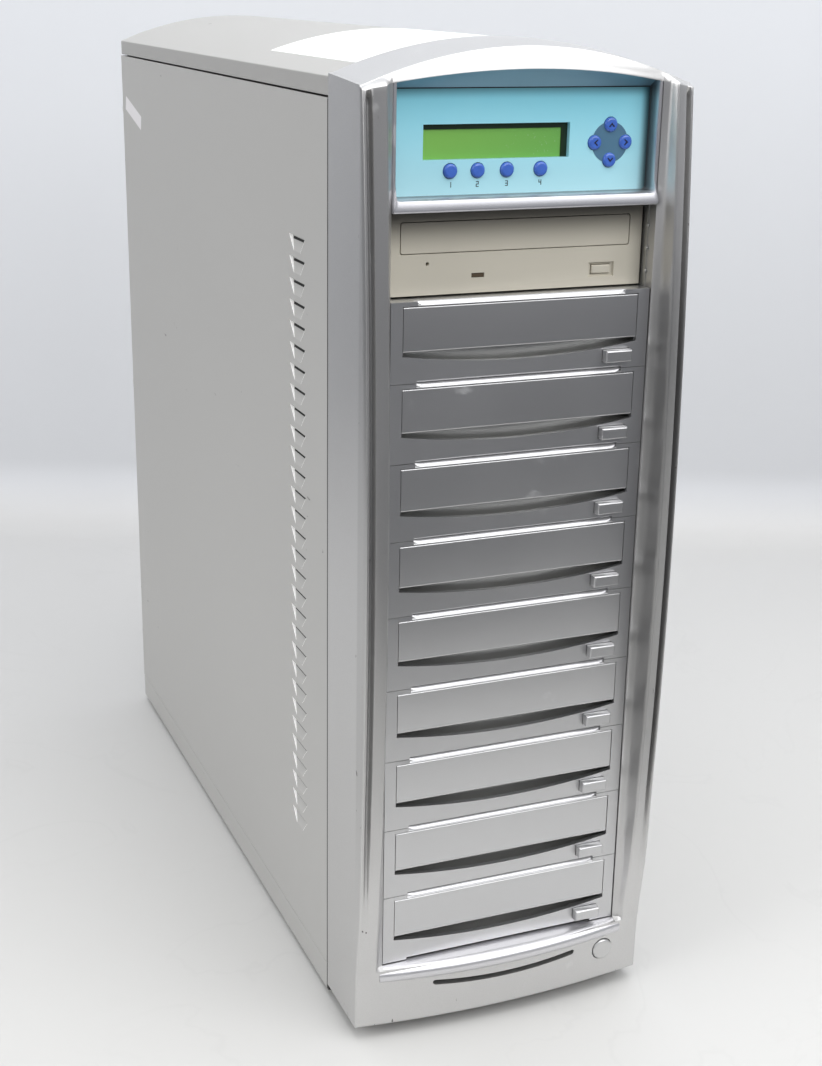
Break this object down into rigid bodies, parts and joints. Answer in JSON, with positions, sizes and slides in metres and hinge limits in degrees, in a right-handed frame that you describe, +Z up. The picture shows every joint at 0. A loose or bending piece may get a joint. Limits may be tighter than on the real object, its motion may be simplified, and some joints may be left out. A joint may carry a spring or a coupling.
{
  "type": "disc duplicator tower",
  "caption": "Free-standing disc copying tower: bowed silver front with a column of drives behind flip-down doors, a keyed display panel under an arched hood, louvred case.",
  "frame": {"origin": "on the floor, in the middle of the part's outline", "axes": "+Z up, the front faces -Y, +X to the right of someone who faces the front"},
  "size_m": [0.182, 0.5332, 0.553],
  "materials": {
    "silver_moulding": "satin silver paint",
    "drive_silver": "fine metallic paint",
    "case_paint": "fine powder coat",
    "plated_steel": "zinc plated",
    "screw_metal": "nickel plated",
    "foot_rubber": "matt",
    "black_plastic": "moulded",
    "beige_plastic": "fine grained",
    "smoked_lens": "clear",
    "blue_film": "printed film",
    "display_glass": "polished",
    "circuit_board": "solder mask",
    "key_blue": "tinted"
  },
  "bodies": {
    "case": {"base_pan": "case_paint", "cage_left": "plated_steel", "cage_right": "plated_steel", "control_overlay": "blue_film", "controller_board": "circuit_board", "drive_cases": "plated_steel", "drive_mechanisms": "black_plastic", "drive_screws": "screw_metal", "fan_frames": "black_plastic", "front_bezel": "silver_moulding", "front_frame": "plated_steel", "keypad_board": "circuit_board", "lcd_module": "display_glass", "power_supply": "plated_steel", "power_switch": "black_plastic", "psu_inlet": "black_plastic", "reader_bezel": "beige_plastic", "reader_led": "smoked_lens", "rear_panel": "plated_steel", "rubber_feet": "foot_rubber", "side_panel_left": "case_paint", "side_panel_right": "case_paint", "thumb_screws": "screw_metal", "top_cover": "case_paint", "top_plate": "plated_steel", "writer_bezels": "drive_silver", "writer_trays": "black_plastic"},
    "door_1": {"door_1": "drive_silver"},
    "door_2": {"door_2": "drive_silver"},
    "door_3": {"door_3": "drive_silver"},
    "door_4": {"door_4": "drive_silver"},
    "door_5": {"door_5": "drive_silver"},
    "door_6": {"door_6": "drive_silver"},
    "door_7": {"door_7": "drive_silver"},
    "door_8": {"door_8": "drive_silver"},
    "door_9": {"door_9": "drive_silver"},
    "eject_button_1": {"eject_button_1": "drive_silver"},
    "eject_button_2": {"eject_button_2": "drive_silver"},
    "eject_button_3": {"eject_button_3": "drive_silver"},
    "eject_button_4": {"eject_button_4": "drive_silver"},
    "eject_button_5": {"eject_button_5": "drive_silver"},
    "eject_button_6": {"eject_button_6": "drive_silver"},
    "eject_button_7": {"eject_button_7": "drive_silver"},
    "eject_button_8": {"eject_button_8": "drive_silver"},
    "eject_button_9": {"eject_button_9": "drive_silver"},
    "reader_tray": {"reader_tray": "beige_plastic"},
    "reader_eject_button": {"reader_eject_button": "beige_plastic"},
    "function_key_1": {"function_key_1": "key_blue"},
    "function_key_2": {"function_key_2": "key_blue"},
    "function_key_3": {"function_key_3": "key_blue"},
    "function_key_4": {"function_key_4": "key_blue"},
    "arrow_key_up": {"arrow_key_up": "key_blue"},
    "arrow_key_down": {"arrow_key_down": "key_blue"},
    "arrow_key_left": {"arrow_key_left": "key_blue"},
    "arrow_key_right": {"arrow_key_right": "key_blue"},
    "power_button": {"power_button": "silver_moulding"},
    "exhaust_fan_rotor_1": {"exhaust_fan_rotor_1": "black_plastic"},
    "exhaust_fan_rotor_2": {"exhaust_fan_rotor_2": "black_plastic"},
    "psu_fan_rotor": {"psu_fan_rotor": "black_plastic"},
    "psu_switch": {"psu_switch": "black_plastic"}
  },
  "joints": [
    {"name": "door_1_hinge", "type": "hinge", "parent": "case", "child": "door_1", "pos_m": [0, -0.2481, 0.4019], "axis": [1, 0, 0], "range_deg": [0, 85], "stiffness_Nm_per_rad": 0.004, "springref_deg": -34.38},
    {"name": "door_2_hinge", "type": "hinge", "parent": "case", "child": "door_2", "pos_m": [0, -0.2481, 0.3596], "axis": [1, 0, 0], "range_deg": [0, 85], "stiffness_Nm_per_rad": 0.004, "springref_deg": -34.38},
    {"name": "door_3_hinge", "type": "hinge", "parent": "case", "child": "door_3", "pos_m": [0, -0.2481, 0.3173], "axis": [1, 0, 0], "range_deg": [0, 85], "stiffness_Nm_per_rad": 0.004, "springref_deg": -34.38},
    {"name": "door_4_hinge", "type": "hinge", "parent": "case", "child": "door_4", "pos_m": [0, -0.2481, 0.275], "axis": [1, 0, 0], "range_deg": [0, 85], "stiffness_Nm_per_rad": 0.004, "springref_deg": -34.38},
    {"name": "door_5_hinge", "type": "hinge", "parent": "case", "child": "door_5", "pos_m": [0, -0.2481, 0.2327], "axis": [1, 0, 0], "range_deg": [0, 85], "stiffness_Nm_per_rad": 0.004, "springref_deg": -34.38},
    {"name": "door_6_hinge", "type": "hinge", "parent": "case", "child": "door_6", "pos_m": [0, -0.2481, 0.1904], "axis": [1, 0, 0], "range_deg": [0, 85], "stiffness_Nm_per_rad": 0.004, "springref_deg": -34.38},
    {"name": "door_7_hinge", "type": "hinge", "parent": "case", "child": "door_7", "pos_m": [0, -0.2481, 0.1481], "axis": [1, 0, 0], "range_deg": [0, 85], "stiffness_Nm_per_rad": 0.004, "springref_deg": -34.38},
    {"name": "door_8_hinge", "type": "hinge", "parent": "case", "child": "door_8", "pos_m": [0, -0.2481, 0.1058], "axis": [1, 0, 0], "range_deg": [0, 85], "stiffness_Nm_per_rad": 0.004, "springref_deg": -34.38},
    {"name": "door_9_hinge", "type": "hinge", "parent": "case", "child": "door_9", "pos_m": [0, -0.2481, 0.0635], "axis": [1, 0, 0], "range_deg": [0, 85], "stiffness_Nm_per_rad": 0.004, "springref_deg": -34.38},
    {"name": "eject_1_press", "type": "slide", "parent": "case", "child": "eject_button_1", "axis": [0, 1, 0], "range_m": [0, 0.0015], "stiffness_N_per_m": 200, "springref_m": -0.001},
    {"name": "eject_2_press", "type": "slide", "parent": "case", "child": "eject_button_2", "axis": [0, 1, 0], "range_m": [0, 0.0015], "stiffness_N_per_m": 200, "springref_m": -0.001},
    {"name": "eject_3_press", "type": "slide", "parent": "case", "child": "eject_button_3", "axis": [0, 1, 0], "range_m": [0, 0.0015], "stiffness_N_per_m": 200, "springref_m": -0.001},
    {"name": "eject_4_press", "type": "slide", "parent": "case", "child": "eject_button_4", "axis": [0, 1, 0], "range_m": [0, 0.0015], "stiffness_N_per_m": 200, "springref_m": -0.001},
    {"name": "eject_5_press", "type": "slide", "parent": "case", "child": "eject_button_5", "axis": [0, 1, 0], "range_m": [0, 0.0015], "stiffness_N_per_m": 200, "springref_m": -0.001},
    {"name": "eject_6_press", "type": "slide", "parent": "case", "child": "eject_button_6", "axis": [0, 1, 0], "range_m": [0, 0.0015], "stiffness_N_per_m": 200, "springref_m": -0.001},
    {"name": "eject_7_press", "type": "slide", "parent": "case", "child": "eject_button_7", "axis": [0, 1, 0], "range_m": [0, 0.0015], "stiffness_N_per_m": 200, "springref_m": -0.001},
    {"name": "eject_8_press", "type": "slide", "parent": "case", "child": "eject_button_8", "axis": [0, 1, 0], "range_m": [0, 0.0015], "stiffness_N_per_m": 200, "springref_m": -0.001},
    {"name": "eject_9_press", "type": "slide", "parent": "case", "child": "eject_button_9", "axis": [0, 1, 0], "range_m": [0, 0.0015], "stiffness_N_per_m": 200, "springref_m": -0.001},
    {"name": "reader_eject_press", "type": "slide", "parent": "case", "child": "reader_eject_button", "axis": [0, 1, 0], "range_m": [0, 0.001], "stiffness_N_per_m": 250, "springref_m": -0.001},
    {"name": "function_key_1_press", "type": "slide", "parent": "case", "child": "function_key_1", "axis": [0, 1, 0], "range_m": [0, 0.0008], "stiffness_N_per_m": 400, "springref_m": -0.0008},
    {"name": "function_key_2_press", "type": "slide", "parent": "case", "child": "function_key_2", "axis": [0, 1, 0], "range_m": [0, 0.0008], "stiffness_N_per_m": 400, "springref_m": -0.0008},
    {"name": "function_key_3_press", "type": "slide", "parent": "case", "child": "function_key_3", "axis": [0, 1, 0], "range_m": [0, 0.0008], "stiffness_N_per_m": 400, "springref_m": -0.0008},
    {"name": "function_key_4_press", "type": "slide", "parent": "case", "child": "function_key_4", "axis": [0, 1, 0], "range_m": [0, 0.0008], "stiffness_N_per_m": 400, "springref_m": -0.0008},
    {"name": "arrow_key_up_press", "type": "slide", "parent": "case", "child": "arrow_key_up", "axis": [0, 1, 0], "range_m": [0, 0.0008], "stiffness_N_per_m": 400, "springref_m": -0.0008},
    {"name": "arrow_key_down_press", "type": "slide", "parent": "case", "child": "arrow_key_down", "axis": [0, 1, 0], "range_m": [0, 0.0008], "stiffness_N_per_m": 400, "springref_m": -0.0008},
    {"name": "arrow_key_left_press", "type": "slide", "parent": "case", "child": "arrow_key_left", "axis": [0, 1, 0], "range_m": [0, 0.0008], "stiffness_N_per_m": 400, "springref_m": -0.0008},
    {"name": "arrow_key_right_press", "type": "slide", "parent": "case", "child": "arrow_key_right", "axis": [0, 1, 0], "range_m": [0, 0.0008], "stiffness_N_per_m": 400, "springref_m": -0.0008},
    {"name": "power_press", "type": "slide", "parent": "case", "child": "power_button", "axis": [0, 1, 0], "range_m": [0, 0.0015], "stiffness_N_per_m": 300, "springref_m": -0.001},
    {"name": "reader_tray_slide", "type": "slide", "parent": "case", "child": "reader_tray", "axis": [0, -1, 0], "range_m": [0, 0.13]},
    {"name": "exhaust_fan_rotor_1_spin", "type": "hinge", "parent": "case", "child": "exhaust_fan_rotor_1", "pos_m": [0, 0.2474, 0.11], "axis": [0, 1, 0], "continuous": true},
    {"name": "exhaust_fan_rotor_2_spin", "type": "hinge", "parent": "case", "child": "exhaust_fan_rotor_2", "pos_m": [0, 0.2474, 0.215], "axis": [0, 1, 0], "continuous": true},
    {"name": "psu_fan_rotor_spin", "type": "hinge", "parent": "case", "child": "psu_fan_rotor", "pos_m": [0.03, 0.2474, 0.472], "axis": [0, 1, 0], "continuous": true},
    {"name": "psu_switch_rock", "type": "hinge", "parent": "case", "child": "psu_switch", "pos_m": [-0.048, 0.2532, 0.455], "axis": [1, 0, 0], "range_deg": [-12, 0]}
  ]
}
